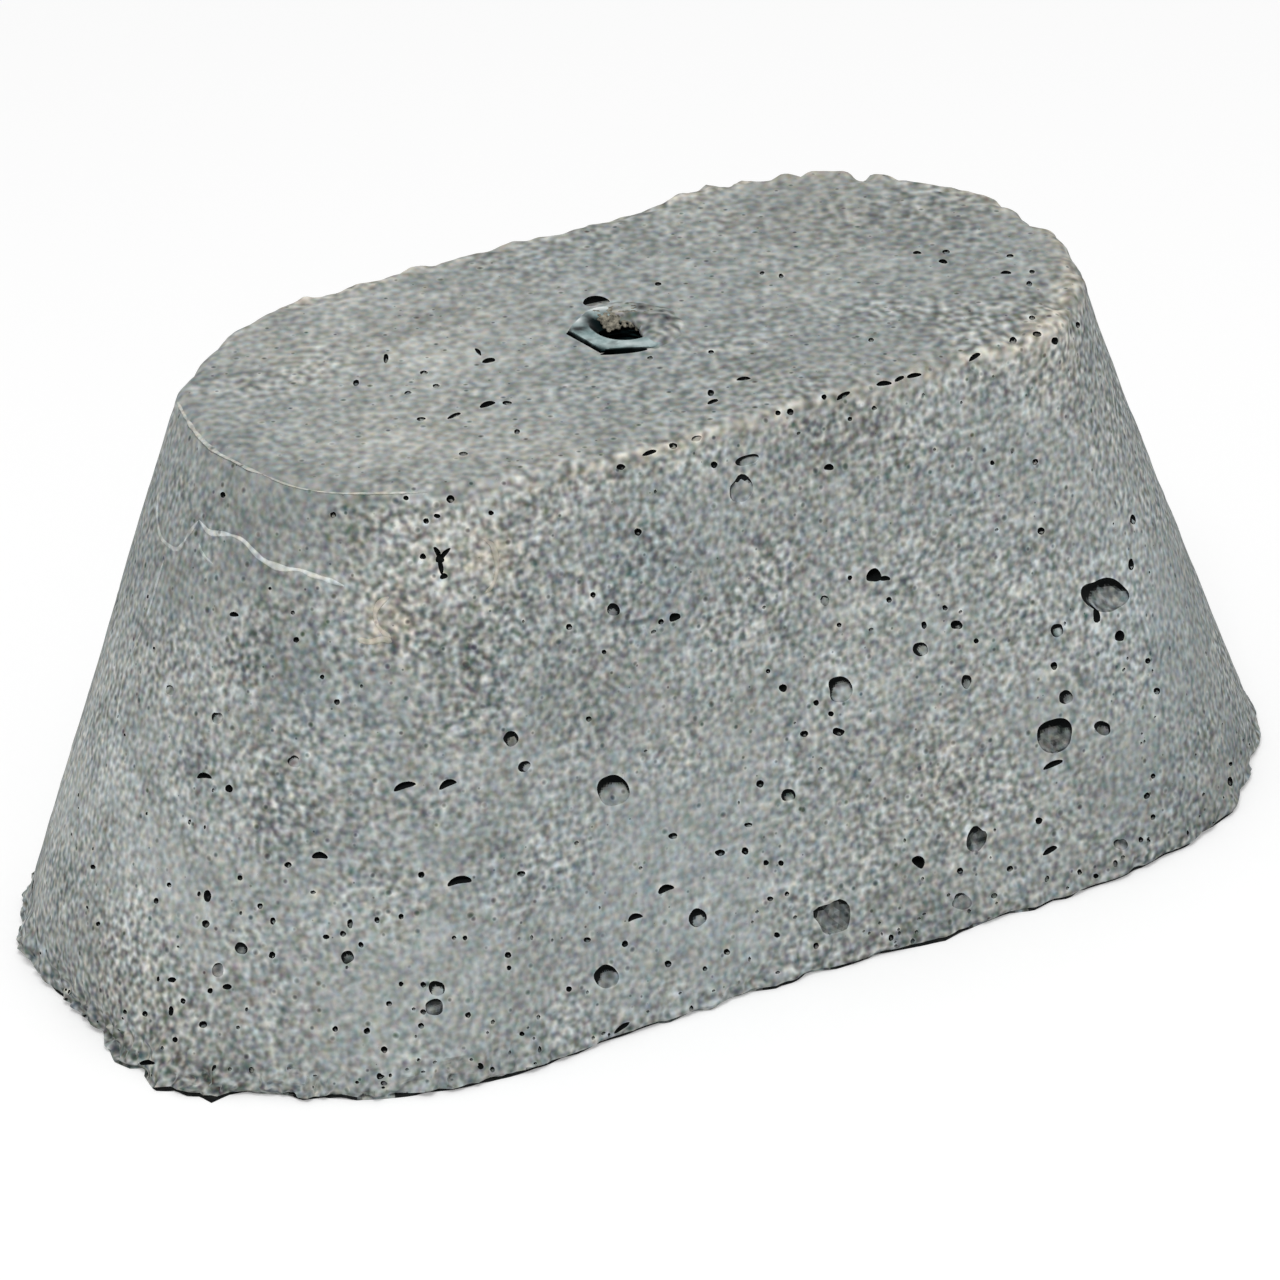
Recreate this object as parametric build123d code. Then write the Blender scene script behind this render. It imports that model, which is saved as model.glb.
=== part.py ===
from build123d import *

import os
from math import radians, sqrt, tan

# Concrete roof support block with a cast-in hex nut: a ballast foot for flat roofs.
# The concrete is cast upside down in a tapered mould, so the small face is the top and the
# large struck-off face is the foot. A long zinc-plated hex nut is cast into the top, and rods,
# rails and trays are bolted down to it.
# Millimetres. The origin is the middle of the foot, +Z is up and +X runs along the length.

# Driving dimensions of the concrete, taken to its sharp corners before the edges are broken.
# The mould rounds the top edge; the foot's edge is trowelled off.
base_length = 240.0
base_width = 117.0
top_length = 166.0
top_width = 87.0
height = 102.0
top_edge_radius = 2.0
foot_edge_chamfer = 1.0

# Driving dimensions of the cast-in nut: M10, long pattern
nut_across_flats = 17.0
nut_length = 30.0
nut_stands_proud = 0.5
nut_corner_chamfer = 0.7
nut_chamfer_angle = 30.0
nut_corner_direction = 30.0
thread_core_diameter = 8.5
thread_mouth_diameter = 10.8
thread_mouth_angle = 90.0

# Places worked out from the driving dimensions
nut_top = height + nut_stands_proud
nut_bottom = nut_top - nut_length
nut_corner_radius = nut_across_flats / sqrt(3)
nut_end_radius = nut_corner_radius - nut_corner_chamfer
nut_chamfer_height = nut_corner_chamfer * tan(radians(nut_chamfer_angle))
core_radius = thread_core_diameter / 2
mouth_radius = thread_mouth_diameter / 2
mouth_depth = (mouth_radius - core_radius) / tan(radians(thread_mouth_angle / 2))


def turned(profile):
    """Solid of revolution about Z from a closed list of (radius, height) points."""
    face = make_face(Polyline(*profile, close=True))
    return revolve(Plane.XZ * face, Axis.Z)


def hexagon_bar(bottom, top):
    """Hexagonal bar of the nut's section, standing between two heights."""
    section = RegularPolygon(
        nut_across_flats / 2, 6, major_radius=False, rotation=nut_corner_direction
    )
    return extrude(Plane.XY.offset(bottom) * section, amount=top - bottom)


def nut_blank():
    """Hex bar cut to the nut's length, with the corners turned off at both ends."""
    turning = turned(
        [
            (0, nut_bottom),
            (nut_end_radius, nut_bottom),
            (nut_corner_radius, nut_bottom + nut_chamfer_height),
            (nut_corner_radius, nut_top - nut_chamfer_height),
            (nut_end_radius, nut_top),
            (0, nut_top),
        ]
    )
    return hexagon_bar(nut_bottom, nut_top) & turning


def thread_hole():
    """Bore at the thread's core diameter, countersunk at both mouths."""
    return turned(
        [
            (0, nut_bottom),
            (mouth_radius, nut_bottom),
            (core_radius, nut_bottom + mouth_depth),
            (core_radius, nut_top - mouth_depth),
            (mouth_radius, nut_top),
            (0, nut_top),
        ]
    )


def hex_nut():
    """The long nut, drilled through."""
    return nut_blank() - thread_hole()


def nut_seat():
    """Space that the nut holds in the concrete: its own blank below, a straight bar above."""
    nut_middle = (nut_bottom + nut_top) / 2
    return nut_blank() + hexagon_bar(nut_middle, nut_top)


def wall_outline(level, inset=0.0):
    """Obround outline of the drafted walls at a height above the foot, pulled in by an inset."""
    rise = level / height
    length = base_length + (top_length - base_length) * rise
    width = base_width + (top_width - base_width) * rise
    return Plane.XY.offset(level) * SlotOverall(length - 2 * inset, width - 2 * inset)


def cast_body():
    """Drafted obround: flat sides and rounded ends that lean further in than the sides."""
    foot = wall_outline(0, foot_edge_chamfer)
    chamfer_top = wall_outline(foot_edge_chamfer)
    crown = wall_outline(height)
    body = loft([foot, chamfer_top, crown], ruled=True)
    return fillet(body.edges().group_by(Axis.Z)[-1], top_edge_radius)


def concrete_block():
    """The casting, with the nut's seat left in its top."""
    return cast_body() - nut_seat()


os.makedirs("parts", exist_ok=True)
export_step(concrete_block(), "parts/concrete_block.step")
export_step(hex_nut(), "parts/hex_nut.step")
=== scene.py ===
from math import cos, pi, radians, sin, sqrt, tan

import bmesh
import bpy
import numpy as np
from mathutils import Matrix, Vector
from mathutils.bvhtree import BVHTree
from mathutils.geometry import delaunay_2d_cdt


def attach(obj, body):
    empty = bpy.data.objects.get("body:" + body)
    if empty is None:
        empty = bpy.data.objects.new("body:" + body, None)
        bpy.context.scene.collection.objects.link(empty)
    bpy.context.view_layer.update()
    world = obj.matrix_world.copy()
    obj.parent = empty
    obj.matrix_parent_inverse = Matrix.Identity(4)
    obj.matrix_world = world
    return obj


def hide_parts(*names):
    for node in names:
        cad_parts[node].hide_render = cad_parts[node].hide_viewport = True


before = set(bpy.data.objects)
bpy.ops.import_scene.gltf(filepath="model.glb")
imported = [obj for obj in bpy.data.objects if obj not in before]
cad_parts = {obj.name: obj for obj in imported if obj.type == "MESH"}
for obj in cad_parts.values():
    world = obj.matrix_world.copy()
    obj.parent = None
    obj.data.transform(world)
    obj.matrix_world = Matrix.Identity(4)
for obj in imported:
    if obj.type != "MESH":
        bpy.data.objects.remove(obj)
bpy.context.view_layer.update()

# A concrete roof support block, cast upside down in a tapered mould round a zinc-plated nut.
# The concrete keeps what the casting left on it: air voids, a sandy skin, a crumbled top edge,
# a ragged foot, and pale seams from folds in the mould's liner. Mortar half covers the nut.
# Everything is drawn in millimetres and turned to metres when a mesh is made.
MM = 0.001
draw = np.random.default_rng(12)

# Sizes of the block and the nut
foot_length = 240.0
foot_width = 117.0
top_length = 166.0
top_width = 87.0
block_height = 102.0
top_edge_radius = 2.0
nut_across_flats = 17.0
nut_length = 30.0
nut_stands_proud = 0.5
nut_corner_chamfer = 0.7
nut_chamfer_slope = 1 / tan(radians(30))
nut_lean = radians(2.0)
nut_turn = radians(6.0)
nut_shift = 0.6
thread_pitch = 1.5
thread_outer_radius = 5.0
thread_inner_radius = 4.25
thread_mouth_radius = 5.4
# The thread's mouth is worn wider on the photograph's left
worn_direction = radians(125)
worn_reach = 1.1
worn_spread = 0.5

# The photograph's camera, fitted to the block's outline, its top edge and the nut's corners
photo_side = 1280
photo_azimuth = radians(-29.05)
photo_elevation = radians(26.79)
photo_roll = radians(-2.23)
photo_distance = 1745.0
photo_focal = 9897.0
photo_middle = np.array([637.7, 590.4])
aim = np.array([0.0, 0.0, block_height / 2])

camera_back = np.array([
    sin(photo_azimuth) * cos(photo_elevation),
    -cos(photo_azimuth) * cos(photo_elevation),
    sin(photo_elevation),
])
level_right = np.array([cos(photo_azimuth), sin(photo_azimuth), 0.0])
level_up = np.cross(camera_back, level_right)
camera_right = level_right * cos(photo_roll) + level_up * sin(photo_roll)
camera_up = level_up * cos(photo_roll) - level_right * sin(photo_roll)
camera_eye = aim + camera_back * photo_distance
mm_per_pixel = photo_distance / photo_focal


def sight_lines(pixels):
    """Directions from the camera through some pixels of the photograph."""
    offset = (np.asarray(pixels, float) - photo_middle) / photo_focal
    lines = offset[:, :1] * camera_right - offset[:, 1:] * camera_up - camera_back
    return lines / np.linalg.norm(lines, axis=1)[:, None]


def at_level(pixels, level):
    """Where the lines of sight through some pixels meet a level plane, in mm."""
    lines = sight_lines(pixels)
    return camera_eye + lines * ((level - camera_eye[2]) / lines[:, 2])[:, None]


def seen_at(pixels, surface):
    """Points of a surface that the photograph shows at some pixels, in mm; misses are left out."""
    eye = Vector(camera_eye * MM)
    hits = [surface.ray_cast(eye, Vector(line))[0] for line in sight_lines(pixels)]
    return np.array([hit for hit in hits if hit]) / MM


# Shape of the drafted block
def half_spine_and_radius(level):
    """Half the straight length and the end radius of the block at a height above its foot."""
    rise = level / block_height
    length = foot_length + (top_length - foot_length) * rise
    width = foot_width + (top_width - foot_width) * rise
    return (length - width) / 2, width / 2


def reach_outside(points):
    """How far points lie outside the drafted wall at their own height; inside is negative."""
    half_spine, radius = half_spine_and_radius(points[..., 2])
    past_spine = points[..., 0] - np.clip(points[..., 0], -half_spine, half_spine)
    return np.hypot(past_spine, points[..., 1]) - radius


def wall_normals(points):
    """Outward directions of the drafted wall nearest to points."""
    half_spine, radius = half_spine_and_radius(points[..., 2])
    on_spine = np.clip(points[..., 0], -half_spine, half_spine)
    facing = np.arctan2(points[..., 1], points[..., 0] - on_spine)
    end_lean = (foot_length - foot_width - top_length + top_width) / 2 / block_height
    side_lean = (foot_width - top_width) / 2 / block_height
    lean = side_lean + end_lean * np.cos(facing) * on_spine / half_spine
    normals = np.stack([np.cos(facing), np.sin(facing), lean], -1)
    return normals / np.linalg.norm(normals, axis=-1)[..., None]


def smooth_step(value, low, high):
    """0 below low, 1 above high and an even curve between."""
    share = np.clip((value - low) / (high - low), 0, 1)
    return share * share * (3 - 2 * share)


# Large odd numbers that turn a place and a seed into a value that looks random
lump_mixers = np.array([374761393, 668265263, 1440662683])
lump_seed_mixer = 982451653
lump_stirrer = 1274126177


def lumps(points, size, seed):
    """Even random swell between -1 and 1, with lumps about size mm across."""
    scaled = points / size
    cell = np.floor(scaled).astype(np.int64)
    share = scaled - cell
    share = share * share * (3 - 2 * share)
    total = np.zeros(points.shape[:-1])
    for corner in np.ndindex(2, 2, 2):
        weight = np.prod(np.where(corner, share, 1 - share), axis=-1)
        mixed = (cell + corner) @ lump_mixers + seed * lump_seed_mixer
        mixed = (mixed ^ (mixed >> 13)) * lump_stirrer & 0xFFFFFFFF
        total += weight * (((mixed ^ (mixed >> 15)) & 0xFFFF) / 32767.5 - 1)
    return total


# Ragged edges, read along the photograph's outline: the foot from the left end round the front, and
# the top all round. The foot's unseen rest runs evenly between the two ends of what was read.
foot_edge_pixels = [
    (21, 902), (20, 915), (26, 920), (16, 938), (19, 948), (29, 961), (40, 972), (52, 990),
    (69, 1001), (82, 1011), (92, 1023), (106, 1033), (105, 1047), (111, 1061), (127, 1068),
    (143, 1067), (141, 1075), (152, 1090), (173, 1091), (184, 1096), (198, 1096), (211, 1103),
    (224, 1095), (245, 1091), (263, 1094), (284, 1095), (300, 1100), (323, 1097), (355, 1100),
    (410, 1096), (438, 1091), (472, 1087), (500, 1079), (530, 1072), (553, 1063), (582, 1053),
    (605, 1042), (633, 1033), (660, 1023), (672, 1022), (696, 1010), (715, 1009), (725, 1001),
    (752, 991), (778, 988), (798, 981), (809, 973), (837, 969), (856, 963), (870, 958),
    (899, 950), (925, 945), (948, 940), (966, 931), (984, 923), (1009, 913), (1036, 910),
    (1055, 900), (1070, 898), (1089, 888), (1118, 879), (1142, 868), (1167, 854), (1191, 845),
    (1203, 833), (1237, 810), (1239, 790), (1249, 779), (1251, 759), (1261, 744), (1259, 720),
]
top_edge_pixels = [
    (1082, 276), (1070, 253), (1062, 239), (1053, 229), (1030, 225), (1019, 212), (1007, 205),
    (981, 192), (959, 187), (930, 184), (904, 180), (890, 174), (872, 172), (864, 177),
    (844, 170), (821, 169), (809, 170), (801, 176), (781, 172), (769, 179), (755, 180),
    (739, 178), (729, 187), (715, 187), (706, 182), (696, 186), (677, 194), (660, 203),
    (640, 209), (600, 220), (560, 232), (508, 241), (487, 247), (464, 254), (440, 260),
    (422, 262), (404, 269), (377, 278), (355, 279), (349, 282), (333, 290), (319, 294),
    (302, 296), (276, 309), (247, 322), (228, 335), (219, 347), (202, 360), (196, 372),
    (179, 388), (176, 397), (192, 428), (232, 459), (286, 484), (339, 493), (428, 493),
    (491, 484), (540, 476), (600, 463), (669, 447), (730, 428), (794, 408), (892, 381),
    (982, 354), (1053, 332),
]

# The block's mesh: columns go round it, rows go from under the foot up the wall and onto the top
side_columns = 110
end_columns = 196
under_foot = [(0.0, 6.0), (0.0, 3.6), (0.0, 2.0), (0.0, 1.0), (0.35, 0.75), (0.6, 0.6), (0.75, 0.25)]
wall_levels = np.concatenate([
    np.linspace(1.2, 8.0, 10, endpoint=False),
    np.linspace(8.0, 93.0, 54, endpoint=False),
    np.linspace(93.0, block_height - top_edge_radius, 13, endpoint=False),
])
edge_turns = np.linspace(0, pi / 2, 6)
top_ring_insets = [0.7, 1.4, 2.1, 2.9, 3.8]
top_spacing = 1.25
foot_spacing = 5.0
point_jitter = 0.22
ring_clearance = 0.6
foot_edge_level = 0.6
top_edge_level = block_height - 0.5
foot_wander_height = 10.0
foot_notch_height = 2.6
foot_notch_columns = 15
top_wander_height = 22.0
top_wander_depth = 7.0

along = np.linspace(-1, 1, side_columns, endpoint=False)
turn = np.linspace(-pi / 2, pi / 2, end_columns, endpoint=False)
column_spine = np.concatenate([along, np.ones(end_columns), -along, -np.ones(end_columns)])
column_facing = np.concatenate([
    np.full(side_columns, -pi / 2), turn, np.full(side_columns, pi / 2), turn + pi,
])
column_count = len(column_spine)


def column_under(points):
    """Number of the column, with its fraction, that points lie on."""
    half_spine, radius = half_spine_and_radius(points[:, 2])
    share = points[:, 0] / half_spine
    facing = np.arctan2(points[:, 1], points[:, 0] - np.clip(share, -1, 1) * half_spine)
    front = side_columns * (share + 1) / 2
    right = side_columns + end_columns * (facing / pi + 0.5)
    back = side_columns + end_columns + side_columns * (1 - share) / 2
    left = column_count - end_columns + end_columns * ((facing % (2 * pi)) / pi - 0.5)
    on_side = np.where(points[:, 1] < 0, front, back)
    return np.where(share > 1, right, np.where(share < -1, left, on_side))


def edge_wander(pixels, level):
    """How far the cast edge strays outwards from the mould's line at each column, in mm."""
    read = at_level(pixels, level)
    column = column_under(read) % column_count
    order = np.argsort(column)
    return np.interp(
        np.arange(column_count), column[order], reach_outside(read)[order], period=column_count
    )


def profile_rows():
    """Height and inset of each row of the mesh, from under the foot to the top's outer ring."""
    rows = list(under_foot)
    rows += [(level, 0.0) for level in wall_levels]
    for turned in edge_turns:
        rise = top_edge_radius * (1 - sin(turned))
        rows.append((block_height - rise, top_edge_radius * (1 - cos(turned))))
    rows += [(block_height, top_edge_radius + inset) for inset in top_ring_insets]
    return np.array(rows)


def inside_ring(points, ring):
    """Which flat points lie inside a closed ring."""
    inside = np.zeros(len(points), bool)
    for start, end in zip(ring, np.roll(ring, -1, axis=0)):
        spans = (start[1] > points[:, 1]) != (end[1] > points[:, 1])
        rise = (points[:, 1] - start[1]) / np.where(end[1] == start[1], 1, end[1] - start[1])
        inside ^= spans & (points[:, 0] < start[0] + (end[0] - start[0]) * rise)
    return inside


def filled(ring, spacing):
    """Points spread evenly inside a flat ring, and the triangles that join them to it."""
    low, high = ring.min(0), ring.max(0)
    across = np.arange(low[0], high[0], spacing)
    lines = np.arange(low[1], high[1], spacing * sqrt(3) / 2)
    x, y = np.meshgrid(across, lines)
    x = x + (np.arange(len(lines)) % 2)[:, None] * spacing / 2
    inner = np.stack([x.ravel(), y.ravel()], 1)
    inner += draw.uniform(-point_jitter, point_jitter, inner.shape) * spacing
    inner = inner[inside_ring(inner, ring)]
    gap = np.array([np.min(np.hypot(*(ring - point).T)) for point in inner])
    inner = inner[gap > ring_clearance * spacing]
    flat = [Vector(point) for point in np.concatenate([ring, inner])]
    made = delaunay_2d_cdt(flat, [], [list(range(len(ring)))], 1, 1e-6)
    source = [origin[0] for origin in made[3]]
    return inner, [[source[corner] for corner in face] for face in made[2]]


# Patches of the skin, read from the photograph: pixel, radius in pixels, then how much paler, warmer and
# sandier than the rest each one is. The pale patches along the left end's outline, at (105, 670), (65, 790)
# and (40, 875), are painted light that lifts the shade where that end turns away from the lamp.
skin_patches = [
    (250, 520, 95, -0.7, 0.0, -0.7), (165, 570, 45, -0.5, 0.0, -0.5), (105, 670, 48, 1.5, 0.1, -0.3),
    (180, 700, 55, 0.3, 0.1, 0.0), (65, 790, 60, 1.7, 0.1, -0.3), (140, 890, 75, 1.0, 0.0, -0.2),
    (40, 875, 40, 1.1, 0.1, -0.2), (255, 640, 50, -0.2, 0.1, 0.2), (430, 535, 46, 0.6, 0.2, 0.7),
    (345, 545, 40, -0.45, 0.15, 0.3), (392, 620, 32, 0.1, 0.8, 0.5), (492, 558, 28, 0.2, 0.9, 0.6),
    (320, 690, 55, -0.3, -0.2, 0.2), (500, 680, 50, -0.35, -0.1, 0.3), (655, 570, 55, -0.5, -0.2, 0.2),
    (580, 720, 45, -0.3, 0.0, 0.2), (810, 460, 42, -0.4, 0.1, 0.2), (880, 420, 50, -0.3, 0.1, 0.2),
    (970, 470, 45, -0.25, -0.1, 0.0), (1050, 360, 38, 0.6, 0.4, 0.5), (600, 890, 120, 0.1, -0.1, -0.5),
    (705, 815, 90, 0.35, -0.12, -0.4), (760, 735, 45, 0.25, 0.0, 0.0), (930, 780, 75, -0.25, 0.2, 0.3),
    (1180, 640, 85, -0.05, -0.1, -0.6), (1238, 740, 35, -0.7, -0.2, -0.5),
    (1215, 810, 45, -0.6, 0.1, 0.0), (430, 440, 110, 0.4, 0.2, 0.0), (300, 360, 90, 0.5, 0.25, 0.0),
    (350, 290, 55, 0.85, 0.1, 0.0), (450, 330, 90, 0.4, 0.2, 0.0), (540, 455, 55, 0.3, 0.2, 0.2),
    (270, 440, 60, 0.0, 0.0, -0.7), (775, 370, 60, -0.5, 0.1, -0.1), (680, 390, 60, -0.35, 0.0, 0.0),
    (900, 335, 60, -0.3, 0.0, 0.0), (800, 215, 90, -0.3, 0.2, 0.1), (940, 215, 80, -0.6, 0.1, 0.0),
    (230, 365, 50, -0.4, 0.0, 0.0), (400, 370, 60, 0.0, 0.0, -0.4), (460, 990, 80, -0.05, 0.0, -0.4),
    (730, 940, 90, 0.3, -0.1, -0.5), (920, 520, 45, -0.4, 0.0, -0.3), (1000, 610, 70, 0.15, 0.0, -0.2),
    (770, 550, 60, -0.4, 0.1, 0.35), (540, 520, 45, -0.4, 0.0, 0.2), (1150, 790, 70, -0.5, -0.1, 0.0),
    (930, 920, 60, -0.5, 0.0, -0.1), (360, 770, 60, 0.0, 0.0, 0.0), (860, 680, 60, 0.3, 0.0, 0.0),
    (280, 775, 55, -0.6, 0.1, 0.5), (320, 850, 60, -0.35, 0.0, -0.2), (455, 670, 80, -0.65, 0.1, 0.2),
    (600, 685, 50, -0.65, 0.1, -0.1), (430, 840, 60, -0.75, 0.0, -0.1), (112, 770, 40, 0.8, 0.0, -0.4),
    (440, 365, 60, 0.5, 0.0, -0.6), (370, 440, 70, 0.65, 0.1, -0.2), (530, 440, 50, 0.3, 0.0, 0.0),
    (800, 280, 60, 0.3, 0.1, 0.2), (690, 215, 60, 0.3, 0.1, 0.2), (1150, 565, 80, 0.5, -0.1, -0.2),
    (1090, 480, 50, 0.3, 0.0, 0.0), (430, 920, 80, 0.2, 0.0, -0.3), (512, 1056, 38, -0.55, 0.0, -0.2),
    (350, 1000, 80, -0.25, 0.0, 0.05), (1150, 700, 70, 0.1, 0.0, -0.6), (150, 770, 80, 0.0, 0.0, -0.4),
    (210, 870, 60, 0.0, 0.0, -0.3), (205, 1085, 40, -0.5, 0.0, 0.0), (100, 985, 80, -0.5, 0.2, 0.3),
    (190, 1060, 70, -0.35, 0.2, 0.3), (880, 930, 70, -0.2, 0.1, -0.2), (840, 440, 48, -0.5, 0.0, 0.0),
    (360, 520, 40, -0.45, 0.0, -0.2), (275, 690, 45, -0.45, 0.1, 0.0), (205, 1035, 55, -0.4, 0.0, 0.0),
    (200, 520, 40, -0.4, 0.0, 0.0), (600, 545, 60, -0.4, 0.0, -0.2), (760, 645, 60, -0.35, 0.0, 0.5),
    (1110, 595, 65, 0.65, -0.1, 0.2), (395, 1075, 50, 0.45, 0.0, 0.0), (430, 370, 45, 0.3, 0.0, -0.2),
    (120, 765, 50, 0.3, 0.0, 0.9), (365, 765, 45, 0.3, 0.0, 0.0), (925, 600, 45, 0.3, 0.0, -0.3),
    (840, 765, 60, 0.0, 0.0, 0.6), (690, 745, 65, 0.0, 0.1, 0.5), (600, 840, 50, 0.0, 0.0, 0.4),
    (275, 590, 50, -0.3, 0.0, 0.4), (960, 310, 75, -0.25, 0.1, 0.7), (1165, 660, 80, 0.0, -0.1, 0.6),
    (760, 925, 45, -0.35, 0.0, -0.4), (440, 760, 45, 0.0, 0.0, -0.3), (690, 520, 45, 0.0, 0.0, -0.3),
    (200, 780, 60, -0.3, 0.0, 0.1), (520, 425, 50, 0.0, 0.0, -0.5), (720, 215, 60, 0.0, 0.0, 0.3),
    (530, 290, 70, 0.0, 0.0, 0.3), (330, 620, 50, 0.0, 0.0, 0.2),
]

# Air voids, read from the photograph: pixel, width and height in pixels, then for the larger kinds the
# turn in degrees, and for the wide ones how much painted shade darkens them inside. Cups are deep, dishes
# are shallow, pockets are broken open, slits are narrow and painted dark as their shade, and arches are
# slits with a bend.
cups = [
    (1106, 594, 48, 34, 8, 0.36), (1053, 735, 40, 36, 0, 0.5), (614, 790, 33, 30, 15, 0.12),
    (840, 689, 25, 27, 0, 0.06), (607, 977, 23, 23, 0, 0.45), (698, 918, 18, 18, 0, 0.2),
    (347, 957, 14, 13, 0, 0.7), (1066, 697, 15, 14, -20, 0.4), (966, 681, 11, 14, 0, 0.3),
    (613, 610, 14, 12, 35, 0.2), (1103, 728, 18, 14, 30, 0.5), (511, 739, 14, 15, 0, 0.3),
    (241, 948, 13, 12, 20, 0.5), (1057, 630, 13, 14, 0, 0.4), (788, 795, 14, 13, 0, 0.12),
    (525, 766, 13, 10, -30, 0.1), (920, 649, 14, 15, -40, 0.1), (747, 460, 23, 10, -15, 0.2),
    (437, 988, 17, 15, 15, 0.1),
]
dishes = [
    (741, 489, 23, 26, 0, 0.08), (962, 901, 20, 16, 0, 0.25), (825, 601, 10, 11, 0, 0.3),
    (294, 762, 11, 11, 0, 0.1), (218, 718, 11, 11, 0, 0.1), (170, 690, 10, 10, 0, 0.2),
    (697, 439, 11, 6, -15, 0.3),
]
pockets = [
    (834, 917, 37, 34, 0, 0.42), (977, 840, 21, 25, 15, 0.55), (434, 1007, 19, 14, 0, 0.6),
    (1121, 844, 15, 11, 0, 0.4), (218, 970, 12, 14, 0, 0.5),
]
slits = [
    (918, 863, 15, 11, 35), (1053, 765, 21, 6, -25), (1050, 851, 18, 6, -30), (675, 618, 12, 8, -25),
    (829, 468, 11, 7, 0), (622, 1028, 18, 5, -35), (234, 615, 10, 5, 5), (975, 357, 14, 5, -35),
    (874, 577, 15, 14, 0), (885, 579, 11, 5, 0), (437, 553, 14, 5, 65), (445, 554, 15, 5, -50),
    (440, 566, 17, 5, 80), (444, 577, 9, 6, -20), (423, 557, 7, 6, 0), (440, 560, 9, 9, 0),
    (884, 384, 17, 5, -8), (900, 379, 11, 4, -25), (914, 376, 16, 5, -12), (843, 396, 16, 5, -30),
    (487, 405, 16, 6, -20), (454, 416, 14, 4, -25), (713, 402, 12, 4, -20), (744, 379, 14, 4, -5),
    (650, 453, 14, 4, -20), (943, 262, 10, 5, 10), (917, 253, 9, 4, 0), (1006, 273, 11, 4, 0),
    (489, 361, 14, 5, -10), (478, 352, 10, 4, 50), (596, 302, 27, 11, -4), (624, 352, 50, 5, -6),
    (147, 1063, 17, 5, -8), (1120, 637, 11, 11, 0), (1097, 617, 8, 16, -10),
]
arches = [
    (460, 882, 24, 8, -10), (405, 787, 23, 7, -16), (448, 785, 19, 7, -22), (320, 857, 17, 7, 5),
    (204, 777, 15, 6, 0), (666, 890, 18, 7, -20), (635, 918, 15, 6, -18),
]
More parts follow.
